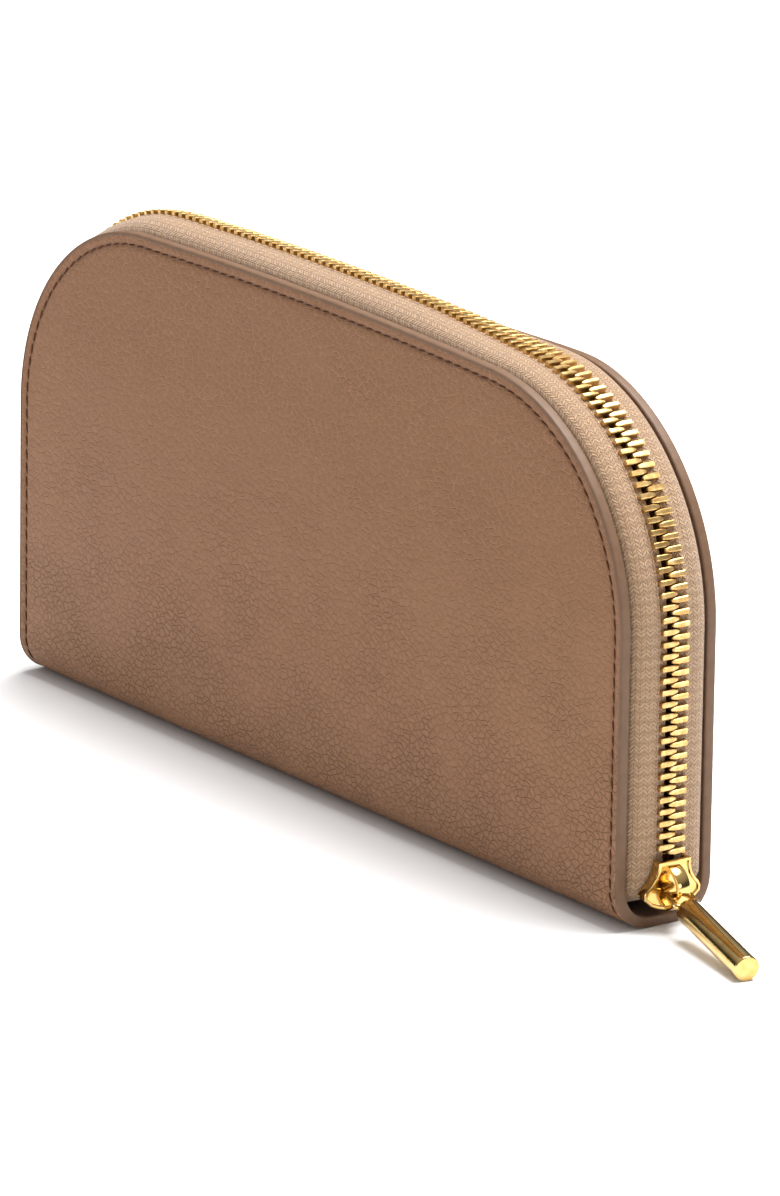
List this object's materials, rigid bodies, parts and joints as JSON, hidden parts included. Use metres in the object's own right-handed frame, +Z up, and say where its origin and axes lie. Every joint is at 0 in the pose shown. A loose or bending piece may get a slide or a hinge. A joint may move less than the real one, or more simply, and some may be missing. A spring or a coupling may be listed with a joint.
{
  "type": "zip-around wallet",
  "caption": "Half-moon zip-around leather wallet standing on its fold, with metal zip, bar puller, card slots and a centre pocket.",
  "frame": {"origin": "centre of the flat underside of the bottom fold", "axes": "+X along the width towards the closed zip end, +Y from the front half to the rear half, +Z up"},
  "size_m": [0.2318, 0.022, 0.1023],
  "materials": {
    "leather": "pebbled",
    "backing": "matt",
    "edge_paint": "satin",
    "thread": "matt",
    "lining": "matt",
    "card_leather": "fine grain",
    "pocket": "fine grain",
    "zip_tape": "woven",
    "zip_metal": "polished"
  },
  "bodies": {
    "rear_half": {"rear_panel": "leather", "rear_backing": "backing", "rear_edge_paint": "edge_paint", "rear_stitching": "thread", "bottom_fold": "leather", "fold_edge_paint": "edge_paint", "front_fold": "leather", "rear_lining": "lining", "rear_card_slot_1": "card_leather", "rear_card_slot_2": "card_leather", "rear_card_slot_3": "card_leather", "rear_card_slot_4": "card_leather", "rear_zip_tape": "zip_tape", "rear_zip_teeth": "zip_metal", "rear_teeth_run": "zip_metal", "zip_end_stop": "zip_metal", "pocket_rear_wall": "pocket", "pocket_front_wall": "pocket"},
    "front_half": {"front_panel": "leather", "front_backing": "backing", "front_edge_paint": "edge_paint", "front_stitching": "thread", "front_lining": "lining", "front_card_slot_1": "card_leather", "front_card_slot_2": "card_leather", "front_card_slot_3": "card_leather", "front_card_slot_4": "card_leather", "front_zip_tape": "zip_tape", "front_zip_teeth": "zip_metal", "front_teeth_run": "zip_metal"},
    "slider": {"slider_body": "zip_metal", "slider_bridge": "zip_metal"},
    "puller": {"puller_loop": "zip_metal", "puller_bar": "zip_metal"}
  },
  "joints": [
    {"name": "front_open", "type": "hinge", "parent": "rear_half", "child": "front_half", "pos_m": [0, -0.0093, 0.0017], "axis": [1, 0, 0], "range_deg": [0, 80], "deforming": ["front_fold"]},
    {"name": "slider_slide", "type": "slide", "parent": "rear_half", "child": "slider", "axis": [0, 0, 1], "range_m": [0, 0.035], "deforming": ["rear_teeth_run", "front_teeth_run"]},
    {"name": "puller_swing", "type": "hinge", "parent": "slider", "child": "puller", "pos_m": [0.10228, 0, 0.0073], "axis": [-0.2429, -0.97, 0], "range_deg": [0, 60]}
  ]
}
